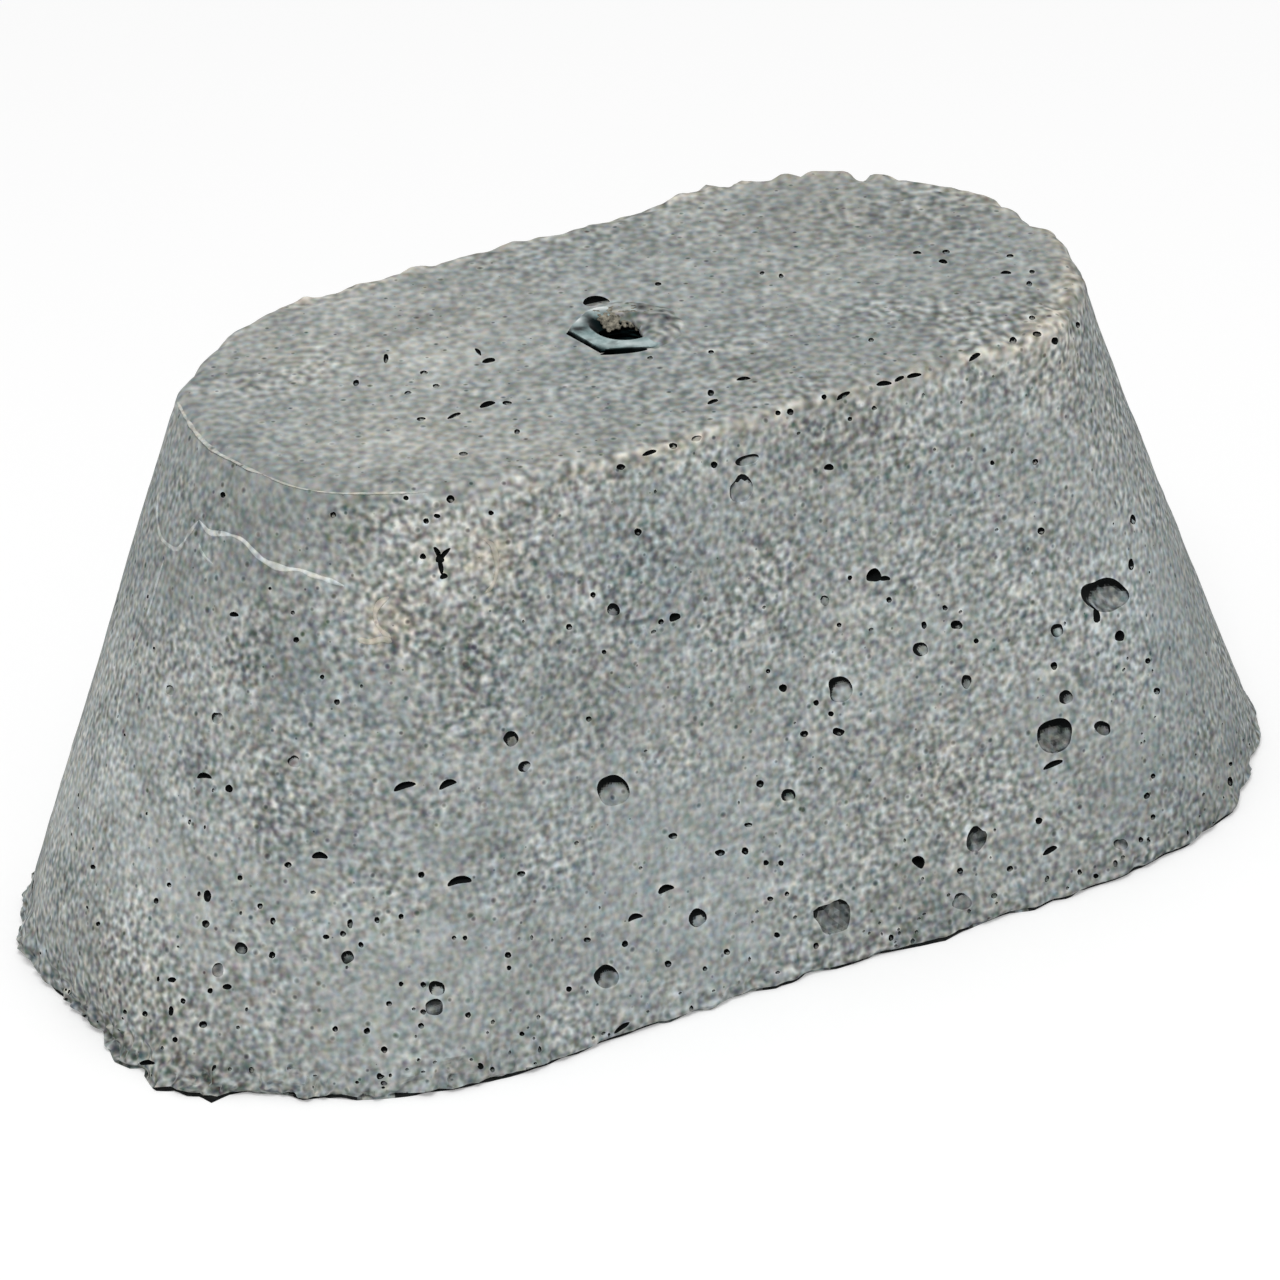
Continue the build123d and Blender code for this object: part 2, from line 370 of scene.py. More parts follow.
small_voids = [
    (1133, 520, 7, 11), (1131, 565, 7, 12), (1148, 661, 6, 6), (1157, 691, 8, 8), (1035, 462, 7, 7),
    (1041, 531, 8, 8), (1054, 666, 8, 9), (957, 625, 12, 9), (924, 625, 6, 8), (945, 608, 6, 6),
    (976, 641, 6, 6), (783, 688, 9, 9), (804, 734, 9, 7), (838, 732, 12, 8), (816, 703, 6, 6),
    (831, 714, 6, 6), (889, 600, 6, 6), (850, 578, 5, 5), (839, 625, 5, 5), (768, 671, 5, 5),
    (638, 532, 8, 8), (593, 595, 6, 6), (569, 627, 7, 7), (604, 652, 5, 5), (589, 719, 6, 6),
    (673, 446, 9, 6), (714, 465, 7, 7), (661, 622, 6, 6), (223, 495, 6, 6), (296, 640, 6, 6),
    (322, 677, 5, 5), (229, 789, 8, 8), (337, 702, 6, 6), (93, 867, 6, 5), (207, 896, 8, 12),
    (206, 924, 8, 8), (156, 901, 6, 6), (169, 885, 5, 5), (98, 924, 5, 5), (240, 878, 6, 6),
    (288, 865, 8, 6), (260, 906, 6, 6), (273, 921, 6, 8), (272, 955, 7, 7), (227, 987, 10, 6),
    (210, 991, 6, 6), (172, 980, 9, 6), (171, 1011, 6, 10), (183, 1001, 6, 6), (203, 1025, 10, 8),
    (125, 1012, 5, 5), (145, 1014, 6, 6), (175, 1040, 6, 6), (521, 874, 9, 6), (421, 875, 7, 7),
    (350, 924, 6, 10), (343, 934, 6, 6), (326, 937, 7, 5), (361, 945, 6, 6), (377, 920, 6, 6),
    (401, 917, 6, 6), (508, 955, 7, 7), (509, 968, 5, 5), (454, 938, 5, 5), (465, 938, 5, 5),
    (569, 989, 6, 6), (587, 940, 8, 6), (625, 944, 7, 7), (423, 985, 6, 6), (423, 1012, 6, 6),
    (389, 1004, 6, 6), (401, 984, 5, 5), (335, 1029, 6, 6), (367, 1031, 7, 7), (384, 1050, 7, 7),
    (380, 1076, 7, 7), (481, 1067, 6, 6), (492, 1070, 6, 6), (468, 1015, 6, 6), (421, 1026, 6, 6),
    (522, 1034, 5, 5), (720, 853, 10, 7), (745, 851, 8, 8), (673, 836, 10, 6), (748, 825, 9, 5),
    (760, 784, 8, 8), (770, 899, 7, 5), (787, 894, 5, 5), (727, 952, 7, 7), (668, 964, 7, 7),
    (705, 969, 5, 5), (777, 935, 6, 6), (816, 946, 6, 7), (891, 938, 6, 8), (960, 871, 7, 7),
    (781, 863, 6, 6), (766, 863, 6, 6), (1231, 764, 5, 5), (1230, 782, 6, 10), (1153, 776, 6, 6),
    (1147, 796, 7, 7), (1153, 817, 6, 6), (1039, 821, 8, 8), (1141, 840, 6, 6), (1010, 869, 7, 7),
    (1096, 876, 6, 6), (1080, 873, 5, 5), (386, 359, 5, 11), (356, 383, 7, 7), (781, 276, 5, 5),
    (946, 252, 8, 5), (1029, 284, 6, 6), (1010, 256, 8, 4), (1013, 341, 8, 8), (1037, 334, 10, 6),
    (1055, 341, 8, 8), (790, 412, 7, 7), (658, 284, 7, 4), (650, 358, 6, 4), (711, 352, 6, 5),
    (824, 397, 6, 6), (778, 413, 6, 5), (1032, 318, 7, 5), (1078, 325, 5, 7), (1032, 272, 6, 5),
    (762, 273, 5, 4), (871, 340, 6, 5), (850, 419, 5, 5), (874, 408, 5, 5), (992, 463, 5, 5),
    (424, 373, 8, 5), (408, 393, 8, 4), (436, 386, 7, 4), (507, 403, 10, 5), (421, 419, 10, 4),
    (517, 432, 6, 6), (463, 454, 9, 5), (711, 393, 7, 7), (621, 467, 9, 6), (450, 499, 9, 8),
    (437, 516, 7, 5), (491, 513, 6, 5), (406, 498, 6, 5), (333, 515, 6, 6), (426, 521, 6, 6),
]

# Pale seams where the mould's liner was folded, read from the photograph: width in mm, how much
# paler and warmer than the skin, and line
liner_seams_read = [
    (1.15, 2.2, 0.0, [
        (199, 520), (205, 528), (211, 533), (225, 534), (237, 537), (245, 542), (254, 552), (263, 560),
        (275, 566), (286, 569), (300, 570), (312, 575), (328, 580), (344, 586),
    ]),
    (0.95, 1.4, 0.0, [(198, 521), (190, 532), (178, 549), (167, 544), (160, 535), (157, 515), (158, 494)]),
    (0.80, 1.2, 0.0, [(165, 556), (157, 582), (151, 603), (146, 618)]),
    (0.75, 1.2, 0.0, [(142, 630), (126, 668), (119, 700), (116, 724)]),
    (1.25, 1.8, 0.2, [
        (176, 397), (181, 408), (186, 417), (196, 432), (207, 444), (220, 454),
        (232, 460), (247, 468), (262, 474),
    ]),
    (0.85, 1.2, 0.2, [(262, 474), (286, 484), (310, 490), (339, 493), (380, 493), (428, 492)]),
    (0.60, 1.0, 0.0, [(199, 543), (201, 551), (206, 558), (213, 564)]),
    (1.50, 0.9, 0.6, [(389, 597), (380, 603), (375, 613), (377, 624), (383, 632), (391, 638)]),
    (1.30, 0.9, 0.6, [(357, 639), (370, 642), (383, 639), (392, 642)]),
    (1.20, 0.6, 0.6, [(482, 538), (492, 545), (496, 556), (497, 570), (493, 585), (485, 593)]),
]

# How sandy the skin is, and the widths in mm of its worn patches and of the sandy bands at its edges
usual_sandiness = 0.52
wide_wear = 17
narrow_wear = 7
sandy_edge_width = 4.5
sandy_foot_height = 5

# Relief of the cast skin, in mm: the mould's swells and ripples, sand, and drag marks on the top
swell_height = 0.20
swell_width = 26
ripple_height = 0.09
ripple_width = 9
sand_height = 0.12
sand_width = 2.6
drag_height = 0.07
drag_width = 2.2
drag_stretch = np.array([0.13, 1.0, 1.0])

# The top edge's crumbs and bites, in mm
crumbled_width = 3.2
crumb_height = 0.45
crumb_width = 2.1
bite_depth = 1.2
bite_width = 4.5

# The foot's rags, folds and chips, in mm
ragged_foot_height = 7
rag_height = 1.3
rag_width = 3.2
rag_fold_height = 2.8
rag_fold_width = 2.4
chipped_foot_height = 4
chip_depth = 2.6
chip_width = 1.9
chip_stretch = np.array([1, 1, 0.5])
lip_lift = 0.45
lip_width = 3.2
lip_height = 3


def patch_marks(points):
    """How much paler, warmer and sandier the photograph's patches make the skin at points."""
    marks = np.zeros(points.shape[:-1] + (3,))
    for centre, patch in zip(patch_centres, skin_patches):
        gap = np.linalg.norm(points - centre, axis=-1) / (patch[2] * mm_per_pixel)
        marks += np.exp(-gap * gap)[..., None] * np.array(patch[3:])
    return marks


def top_edge_nearness(points, width):
    """1 on the block's top edge, fading over a width in mm on both sides of it."""
    inside = np.maximum(-reach_outside(points), 0)
    gap = np.hypot(block_height - points[..., 2], inside)
    return np.exp(-((gap / width) ** 2))


def foot_nearness(points, height):
    """1 at the foot, fading over a height in mm above it."""
    return np.exp(-((points[..., 2] / height) ** 2))


def crumbly_share(points):
    """The top edge is crisp round the left end and crumbles everywhere else."""
    return smooth_step(points[..., 0], -70, -40)


def on_top(points):
    """1 on the top face, 0 on the walls."""
    return smooth_step(points[..., 2], block_height - 3, block_height - 1)


def sandiness(points):
    """How far the smooth cement skin has gone, so that sand shows: 0 is skin, 1 is open sand."""
    sandy = usual_sandiness + 0.5 * lumps(points, wide_wear, 11) + 0.4 * lumps(points, narrow_wear, 12)
    sandy += patch_marks(points)[..., 2] - 0.3 * on_top(points)
    sandy += 0.5 * top_edge_nearness(points, sandy_edge_width) * crumbly_share(points)
    sandy += 0.4 * foot_nearness(points, sandy_foot_height)
    return np.clip(sandy, 0, 1)


def cast_relief(points):
    """How far the cast skin stands out from the mould's smooth shape, in mm."""
    relief = swell_height * lumps(points, swell_width, 1) + ripple_height * lumps(points, ripple_width, 2)
    relief += (0.25 + 0.75 * sandiness(points)) * sand_height * lumps(points, sand_width, 3)
    relief += on_top(points) * drag_height * lumps(points * drag_stretch, drag_width, 10)
    bites = np.maximum(lumps(points, bite_width, 6), 0)
    crumbs = crumb_height * lumps(points, crumb_width, 5) - bite_depth * bites
    crumbled = 0.12 + 0.88 * crumbly_share(points)
    relief += top_edge_nearness(points, crumbled_width) * crumbled * crumbs
    folds = 0.25 - np.abs(lumps(points, rag_fold_width, 8))
    ragged = rag_height * lumps(points, rag_width, 7) + rag_fold_height * folds
    left_end = smooth_step(-points[..., 0], 40, 75)
    relief += foot_nearness(points, ragged_foot_height) * (0.35 + 0.65 * left_end) * ragged
    chips = np.maximum(lumps(points * chip_stretch, chip_width, 15) - 0.1, 0)
    relief -= chip_depth * foot_nearness(points, chipped_foot_height) * (0.2 + 0.8 * left_end) * chips
    return relief


def new_piece(name, points, faces, material=None):
    """A mesh object from points in mm."""
    mesh = bpy.data.meshes.new(name)
    mesh.from_pydata((np.asarray(points) * MM).tolist(), [], faces)
    mesh.update()
    if material:
        mesh.materials.append(material)
    piece = bpy.data.objects.new(name, mesh)
    bpy.context.scene.collection.objects.link(piece)
    return piece


def grid_faces(rows, columns, rows_close=False):
    """Quads of a grid of points whose columns close on themselves, and its rows too if asked."""
    faces = []
    for row in range(rows if rows_close else rows - 1):
        here, above = row * columns, (row + 1) % rows * columns
        for column in range(columns):
            beside = (column + 1) % columns
            faces.append((here + column, here + beside, above + beside, above + column))
    return faces


def cast_block():
    """The casting before its air voids are cut."""
    rows = profile_rows()
    level, inset = rows[:, :1], rows[:, 1:]
    foot_line = edge_wander(foot_edge_pixels, foot_edge_level)
    foot_swell = np.mean([
        np.roll(foot_line, shift) for shift in range(-foot_notch_columns, foot_notch_columns + 1)
    ], axis=0)
    top_share = np.exp(-(block_height - level) / top_wander_height)
    top_share = top_share * np.exp(-np.maximum(inset - top_edge_radius, 0) / top_wander_depth)
    wander = np.exp(-level / foot_wander_height) * foot_swell
    wander = wander + np.exp(-level / foot_notch_height) * (foot_line - foot_swell)
    wander = wander + top_share * edge_wander(top_edge_pixels, top_edge_level)
    half_spine, radius = half_spine_and_radius(level)
    out = radius - inset + wander
    x = column_spine * half_spine + out * np.cos(column_facing)
    y = out * np.sin(column_facing)
    grid = np.stack([x, y, np.broadcast_to(level, x.shape)], -1)

    top_inner, top_faces = filled(grid[-1, :, :2], top_spacing)
    foot_inner, foot_faces = filled(grid[0, :, :2], foot_spacing)
    points = np.concatenate([
        grid.reshape(-1, 3),
        np.insert(top_inner, 2, block_height, axis=1),
        np.insert(foot_inner, 2, 0.0, axis=1),
    ])
    upward = smooth_step(points[:, 2], block_height - top_edge_radius, block_height)[:, None]
    normals = (1 - upward) * wall_normals(points) + upward * np.array([0, 0, 1])
    normals /= np.linalg.norm(normals, axis=1)[:, None]
    free = smooth_step(points[:, 2], 0.0, 1.0)
    points = points + normals * (free * cast_relief(points))[:, None]
    broken = np.maximum(lumps(points * [1, 1, 0], lip_width, 9), 0)
    outer = smooth_step(reach_outside(points), -4, -1)
    points[:, 2] += lip_lift * broken * outer * foot_nearness(points, lip_height)
    points[:, 2] = np.maximum(points[:, 2], 0)

    ring = np.arange(column_count)
    last_ring = ring + (len(rows) - 1) * column_count
    top_start = len(rows) * column_count
    foot_start = top_start + len(top_inner)
    top_order = np.concatenate([last_ring, np.arange(top_start, foot_start)])
    foot_order = np.concatenate([ring, np.arange(foot_start, len(points))])
    faces = grid_faces(len(rows), column_count)
    faces += [tuple(top_order[face]) for face in top_faces]
    faces += [tuple(foot_order[face[::-1]]) for face in foot_faces]
    return new_piece("cast_block", points, [tuple(map(int, face)) for face in faces], concrete)


def surface_of(piece):
    """A piece's mesh as a tree for ray casts."""
    mesh = piece.data
    corners = [vertex.co for vertex in mesh.vertices]
    return BVHTree.FromPolygons(corners, [face.vertices[:] for face in mesh.polygons])


def ball(fineness):
    """Points and faces of a unit ball."""
    shape = bmesh.new()
    bmesh.ops.create_icosphere(shape, subdivisions=fineness, radius=1)
    points = np.array([vertex.co for vertex in shape.verts])
    faces = np.array([[vertex.index for vertex in face.verts] for face in shape.faces])
    shape.free()
    return points, faces


def tangent(pixel_offset, normal):
    """Vector along a surface, in mm, that the photograph shows as an offset in pixels."""
    right, down = np.array(pixel_offset) * mm_per_pixel
    flat = right * camera_right - down * camera_up
    return flat - camera_back * (flat @ normal) / max(camera_back @ normal, 0.35)


# How much painted shade darkens a void inside, and how rough its wall is, where its kind doesn't say
usual_gloom = 0.25
usual_rough = 0.13
# The part of a void's mouth that light falls into, and how far from it the rim's painted shadow starts and
# is full, in shares of the mouth's half width and half height; blotches of a width in mm make its edge uneven
lit_side = (0.2, -0.42)
shadow_start = 0.80
shadow_end = 0.98
void_blotch = 0.9
# A void in a face that is nearly level lies open to the light, so less of it is dark
level_enough = 0.9
open_cover = 0.4
open_gloom = 0.7

# How each kind of void is cut. cover is how much further its rim's painted shadow reaches into it, and
# gloom how much painted shade darkens it inside.
cup_cut = {"depth": 0.75, "sink": 0.1, "rise": 0.45, "rough": 0.18}
small_cup_width = 20
small_cup_cover = 0.22
dish_cut = {"depth": 0.35, "sink": 0.0, "rise": 0.2, "cover": -0.2, "rough": 0.3}
pocket_cut = {"depth": 0.5, "sink": 0.0, "rise": 0.2, "cover": -0.35, "rough": 0.28}
slit_cut = {"depth": 2.0, "sink": 0.5, "rise": 0.5, "cover": 1.5, "gloom": 0.9, "bend": 0.35}
arch_cut = {**slit_cut, "bend": 0.9}
small_void_cut = {"depth": 1.6, "sink": 0.4, "rise": 0.3, "rough": 0.2}
stray_depth = 1.1
stray_sink = 0.1
stray_cover = 0.3


def void_shape(
    centre, mouth, across, up, outward, look, fineness, cover, gloom=usual_gloom, rough=usual_rough, bend=0.0
):
    """One air void's points and faces, and how much painted shade each face gets: a painted black shadow
    under its upper left rim, and painted gloom inside.

    look is the direction towards the eye; a face is under the rim when the eye sees it there in the mouth.
    """
    points, faces = balls[fineness]
    points = points * (1 + rough * lumps(points + draw.uniform(-90, 90, 3), 0.8, 20))[:, None]
    rise = points[:, 1] - bend * points[:, 0] ** 2 + bend / 2
    shape = points[:, :1] * across + rise[:, None] * up + points[:, 2:] * outward
    middles = shape[faces].mean(1)
    in_mouth = (centre - mouth + middles) @ np.linalg.inv(np.stack([across, up, look]))
    blotch = lumps(centre + middles, void_blotch, 21)
    from_lit_side = np.hypot(in_mouth[:, 0] - lit_side[0], in_mouth[:, 1] - lit_side[1]) + 0.1 * blotch
    under_rim = smooth_step(from_lit_side + cover, shadow_start, shadow_end)
    inside = np.clip(gloom * (1 + 0.9 * blotch), 0.02, 0.9)
    dark = inside + (0.99 - inside) * under_rim
    return centre + shape, faces, dark


def read_void(
    surface, x, y, width, height, turn=0, gloom=usual_gloom,
    *, depth, sink, rise, cover=0.0, rough=usual_rough, bend=0.0
):
    """An air void at a pixel of the photograph; depth, sink and rise are shares of its half height.

    It reaches further up inside than its mouth does, so its upper rim overhangs.
    """
    hit, normal = surface.ray_cast(Vector(camera_eye * MM), Vector(sight_lines([(x, y)])[0]))[:2]
    normal = np.array(normal)
    if normal[2] > level_enough:
        cover = cover * open_cover
        gloom = gloom * open_gloom
    turned = radians(turn)
    across = tangent((width / 2 * cos(turned), width / 2 * sin(turned)), normal)
    up = tangent((height / 2 * sin(turned), -height / 2 * cos(turned)), normal)
    reach = min(width, height) / 2 * mm_per_pixel
    outward = normal * reach * depth - up * rise
    mouth = np.array(hit) / MM
    centre = mouth - normal * reach * sink + up * rise * sink
    fineness = 3 if width > 10 else 2
    if width > 19 and depth > 0.6 and cover < 1:
        fineness = 4
    return void_shape(
        centre, mouth, across, up, outward, camera_back, fineness, cover, gloom, rough, bend
    )


def stray_void(surface_points, normals, size):
    """An air void somewhere on the walls that the photograph doesn't settle."""
    pick = draw.integers(len(surface_points))
    normal = normals[pick]
    level = np.cross([0, 0, 1], normal)
    level = level / max(np.linalg.norm(level), 0.01)
    up = np.cross(normal, level)
    stretch = draw.uniform(0.8, 1.25)
    mouth = surface_points[pick]
    centre = mouth - normal * size * stray_sink
    half = size / 2
    across = level * half * stretch
    outward = normal * half * stray_depth
    fineness = 3 if size > 2.5 else 2 if size > 1 else 1
    return void_shape(centre, mouth, across, up * half / stretch, outward, normal, fineness, stray_cover)


def cut_away(piece, shapes):
    """Cuts closed shapes out of a piece; those that touch one another are cut in turn."""
    rounds = []
    for points, faces, dark in shapes:
        middle = points.mean(0)
        size = np.max(np.linalg.norm(points - middle, axis=1))
        for round_shapes in rounds:
            if all(np.linalg.norm(middle - other[3]) > size + other[4] for other in round_shapes):
                round_shapes.append((points, faces, dark, middle, size))
                break
        else:
            rounds.append([(points, faces, dark, middle, size)])
    for round_shapes in rounds:
        points = np.concatenate([shape[0] for shape in round_shapes])
        starts = np.cumsum([0] + [len(shape[0]) for shape in round_shapes])
        faces = [
            list(map(int, face + start))
            for shape, start in zip(round_shapes, starts) for face in shape[1]
        ]
        cutter = new_piece("cutter", points, faces, concrete)
        mark_faces(cutter.data, "painted_shade", np.concatenate([shape[2] for shape in round_shapes]))
        cut = piece.modifiers.new("cut", "BOOLEAN")
        cut.operation = "DIFFERENCE"
        cut.solver = "MANIFOLD"
        cut.object = cutter
        keep_result(piece)
        bpy.data.objects.remove(cutter)


def keep_result(piece):
    """Replaces a piece's mesh by what its modifiers make of it."""
    depsgraph = bpy.context.evaluated_depsgraph_get()
    mesh = bpy.data.meshes.new_from_object(piece.evaluated_get(depsgraph))
    piece.modifiers.clear()
    piece.data = mesh


def mesh_points(mesh):
    """A mesh's points in mm."""
    flat = np.empty(len(mesh.vertices) * 3)
    mesh.vertices.foreach_get("co", flat)
    return flat.reshape(-1, 3) / MM


def mark_faces(mesh, name, values):
    """Keeps a value on each face of a mesh for its material."""
    mark = mesh.attributes.new(name, "FLOAT", "FACE")
    mark.data.foreach_set("value", np.ascontiguousarray(values, dtype=np.float32))


def void_rims(mesh):
    """1 at the points where faces with painted shade meet the skin, 0 elsewhere."""
    painted_shade = np.empty(len(mesh.polygons), dtype=np.float32)
    mesh.attributes["painted_shade"].data.foreach_get("value", painted_shade)
    corners = np.empty(len(mesh.polygons), dtype=np.int32)
    mesh.polygons.foreach_get("loop_total", corners)
    points = np.empty(len(mesh.loops), dtype=np.int32)
    mesh.loops.foreach_get("vertex_index", points)
    dark_corner = np.repeat(painted_shade > 0.01, corners)
    in_dark = np.bincount(points, dark_corner, len(mesh.vertices)) > 0
    on_skin = np.bincount(points, ~dark_corner, len(mesh.vertices)) > 0
    return (in_dark & on_skin).astype(float)


def mark_points(mesh, name, values):
    """Keeps a value at each point of a mesh for its material."""
    mark = mesh.attributes.new(name, "FLOAT", "POINT")
    mark.data.foreach_set("value", np.ascontiguousarray(values, dtype=np.float32))


# Materials
def linear(hex_colour):
    """An sRGB hex colour as linear RGBA."""
    parts = [int(hex_colour[start:start + 2], 16) / 255 for start in (1, 3, 5)]
    return [part / 12.92 if part <= 0.04045 else ((part + 0.055) / 1.055) ** 2.4 for part in parts] + [1.0]


def add_node(tree, kind, inputs=None, output=0, **settings):
    """Adds one node with its settings, and its inputs linked or set; gives the output asked for."""
    made = tree.nodes.new(kind)
    for name, value in settings.items():
        setattr(made, name, value)
    for socket, value in (inputs or {}).items():
        if isinstance(value, bpy.types.NodeSocket):
            tree.links.new(value, made.inputs[socket])
        else:
            made.inputs[socket].default_value = value
    return made.outputs[output]


def per_metre(millimetres):
    """Texture scale that gives a pattern of a size in mm."""
    return 1 / (millimetres * MM)


def blank_material(name):
    """A material with only its surface and output, and the tree they are in."""
    material = bpy.data.materials.new(name)
    material.use_nodes = True
    return material, material.node_tree, material.node_tree.nodes["Principled BSDF"]


# Patterns of the concrete, in mm. Real sand is 0.1 to 1 mm across, so the sand and its grain are drawn a
# little coarser than they are, to show in the picture. Sizes of pinholes are shares of their spacing.
sand_size = 1.15
grain_size = 1.1
fine_size = 0.5
mottle_size = 7.0
stain_size = 1.2
pinhole_spacing = 2.8
smallest_pinhole = 0.04
largest_pinhole = 0.36
# Steps of light from a pinhole's middle, painted dark as its shade, to beyond its pale rim: place and level,
# where 0.5 changes nothing
pinhole_steps = ((0.22, 0.0), (0.74, 0.57), (1.0, 0.5))
# On the top the sand is drawn out a little, to the photograph's right and towards its back
top_sand_stretch = (1.25, 1.6, 1.0)
sand_bump = 0.35

# How strongly each pattern changes the light
sand_contrast = 1.1
skin_sand_share = 0.45
open_sand_share = 1.12
grain_contrast = 0.05
mottle_contrast = 0.24
pinhole_contrast = 0.7
patch_contrast = 0.11
streak_contrast = 0.035
painted_shade_contrast = -0.1
hue_contrast = 0.045
paste_level = 0.62
tone_power = 1.9

# Colours from dark cement paste to pale sand, each between a cool and a warm one
cool_paste = "#38474B"
warm_paste = "#484942"
cool_sand = "#CCDAE0"
warm_sand = "#E3DCCD"
# The near black that painted shade goes towards
void_shadow = "#050808"
cement_roughness = 0.92
cement_specular = 0.15


def cast_concrete_material():
    """Cast concrete struck from a mould: matt grey cement paste, with sand showing through it.

    The eye gets a fine speckle of pale warm sand and dark cool paste, soft clouds where the paste is
    thicker, and small pores whose dark middles are painted shade. Painted shade also darkens the insides of
    the air voids and paints black shadows under their rims, under the foot's lip and in the mortar's gaps.
    """
    material, tree, surface = blank_material("cast_concrete")
    place = add_node(tree, "ShaderNodeTexCoord", output="Object")
    pale, warm, sandy, painted_shade, streak, top, shade = [
        add_node(tree, "ShaderNodeAttribute", output="Fac", attribute_name=mark)
        for mark in ("pale", "warm", "sandy", "painted_shade", "streak", "top", "shade")
    ]

    wall_sand = add_node(tree, "ShaderNodeTexNoise", {
        "Vector": place, "Scale": per_metre(sand_size), "Detail": 0.35,
    })
    drawn_out = add_node(tree, "ShaderNodeMapping", {
        "Vector": place, "Rotation": (0, 0, photo_azimuth), "Scale": top_sand_stretch,
    }, vector_type="TEXTURE")
    top_sand = add_node(tree, "ShaderNodeTexNoise", {
        "Vector": drawn_out, "Scale": per_metre(sand_size), "Detail": 0.0,
    })
    sand = add_node(tree, "ShaderNodeMix", {"Factor": top, 2: wall_sand, 3: top_sand}, data_type="FLOAT")
    grain = add_node(tree, "ShaderNodeTexVoronoi", {
        "Vector": place, "Scale": per_metre(grain_size),
    }, output="Color")
    mottle = add_node(tree, "ShaderNodeTexNoise", {
        "Vector": place, "Scale": per_metre(mottle_size), "Detail": 3.0, "Roughness": 0.6,
    })
    from_middle = add_node(tree, "ShaderNodeTexVoronoi", {
        "Vector": place, "Scale": per_metre(pinhole_spacing),
    }, output="Distance")
    pinhole_size = add_node(tree, "ShaderNodeMapRange", {
        "Value": from_middle.node.outputs["Color"], "To Min": smallest_pinhole, "To Max": largest_pinhole,
    })
    from_pinhole = add_node(tree, "ShaderNodeMath", {0: from_middle, 1: pinhole_size}, operation="DIVIDE")
    pinhole = add_node(tree, "ShaderNodeValToRGB", {"Fac": from_pinhole})
    ramp = pinhole.node.color_ramp.elements
    ramp.new(pinhole_steps[1][0])
    for step, (position, level) in zip(ramp, pinhole_steps):
        step.position = position
        step.color = (level, level, level, 1)

    sand_gain = add_node(tree, "ShaderNodeMapRange", {
        "Value": sandy, "To Min": sand_contrast * skin_sand_share, "To Max": sand_contrast * open_sand_share,
    })
    light = paste_level
    for pattern, contrast in (
        (sand, sand_gain), (grain, grain_contrast), (mottle, mottle_contrast), (pinhole, pinhole_contrast),
    ):
        swing = add_node(tree, "ShaderNodeMath", {0: pattern, 1: -0.5}, operation="ADD")
        light = add_node(tree, "ShaderNodeMath", {
            0: swing, 1: contrast, 2: light,
        }, operation="MULTIPLY_ADD")
    for mark, contrast in ((pale, patch_contrast), (streak, streak_contrast), (painted_shade, painted_shade_contrast)):
        light = add_node(tree, "ShaderNodeMath", {0: mark, 1: contrast, 2: light}, operation="MULTIPLY_ADD")
    light = add_node(tree, "ShaderNodeClamp", {"Value": light})
    light = add_node(tree, "ShaderNodeMath", {0: light, 1: tone_power}, operation="POWER")

    stain = add_node(tree, "ShaderNodeTexNoise", {
        "Vector": place, "Scale": per_metre(stain_size), "Detail": 1.0, "W": 5.0,
    }, noise_dimensions="4D")
    hue = add_node(tree, "ShaderNodeMath", {
        0: warm, 1: 0.8, 2: stain,
    }, operation="MULTIPLY_ADD", use_clamp=True)
    hue = add_node(tree, "ShaderNodeMapRange", {"Value": hue, "From Min": 0.20, "From Max": 0.90})
    paste_colour, sand_colour = [
        add_node(tree, "ShaderNodeMix", {
            "Factor": hue, 6: linear(cool), 7: linear(warmer),
        }, output=2, data_type="RGBA")
        for cool, warmer in ((cool_paste, warm_paste), (cool_sand, warm_sand))
    ]
    colour = add_node(tree, "ShaderNodeMix", {
        "Factor": light, 6: paste_colour, 7: sand_colour,
    }, output=2, data_type="RGBA")
    grain_hue = add_node(tree, "ShaderNodeTexNoise", {
        "Vector": place, "Scale": per_metre(stain_size), "Detail": 1.0, "W": 9.0,
    }, output="Color", noise_dimensions="4D")
    colour = add_node(tree, "ShaderNodeMix", {
        "Factor": hue_contrast, 6: colour, 7: grain_hue,
    }, output=2, data_type="RGBA", blend_type="LINEAR_LIGHT")
    # Painted shade: the air voids, the underside of the foot's lip and the mortar's gaps go towards near
    # black
    shadow = add_node(tree, "ShaderNodeMath", {0: painted_shade, 1: shade}, operation="MAXIMUM")
    colour = add_node(tree, "ShaderNodeMix", {
        "Factor": shadow, 6: colour, 7: linear(void_shadow),
    }, output=2, data_type="RGBA")
    tree.links.new(colour, surface.inputs["Base Color"])

    fine = add_node(tree, "ShaderNodeTexNoise", {
        "Vector": place, "Scale": per_metre(fine_size), "Detail": 0.0,
    })
    height = add_node(tree, "ShaderNodeMath", {0: fine, 1: 0.3, 2: sand}, operation="MULTIPLY_ADD")
    bump = add_node(tree, "ShaderNodeBump", {
        "Height": height, "Strength": 0.28, "Distance": sand_bump * MM,
    })
    tree.links.new(bump, surface.inputs["Normal"])
    surface.inputs["Roughness"].default_value = cement_roughness
    surface.inputs["Specular IOR Level"].default_value = cement_specular
    return material


# Mortar: size of its sand and depth of its bump in mm, and its colours in the gaps and on the grains
mortar_sand = 0.9
mortar_bump = 0.3
mortar_gap_colour = "#2C2C27"
mortar_grain_colour = "#A39E8F"


